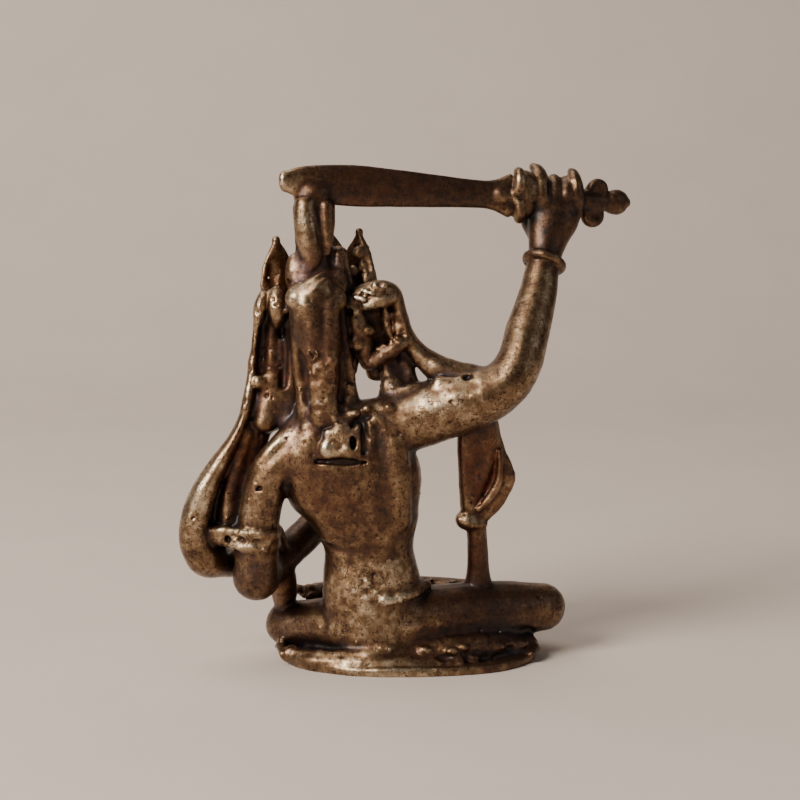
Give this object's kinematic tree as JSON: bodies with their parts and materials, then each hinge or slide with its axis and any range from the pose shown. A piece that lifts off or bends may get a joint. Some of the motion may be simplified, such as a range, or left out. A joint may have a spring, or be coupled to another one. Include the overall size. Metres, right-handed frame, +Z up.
{
  "type": "manjushri statue",
  "caption": "Small cast bronze bodhisattva seated cross-legged on a low plate, one arm raised to hold a sword level over its crown.",
  "frame": {"origin": "middle of the oval base plate, on its flat underside", "axes": "+Z up; the figure faces -Y and its raised right hand is on the -X side"},
  "size_m": [0.131, 0.0538, 0.1446],
  "materials": {
    "bronze": "old cast bronze, worn pale and satin on its high places and dark brown in its hollows, with casting pits"
  },
  "bodies": {
    "root": {"manjushri_statue": "bronze"}
  },
  "joints": []
}
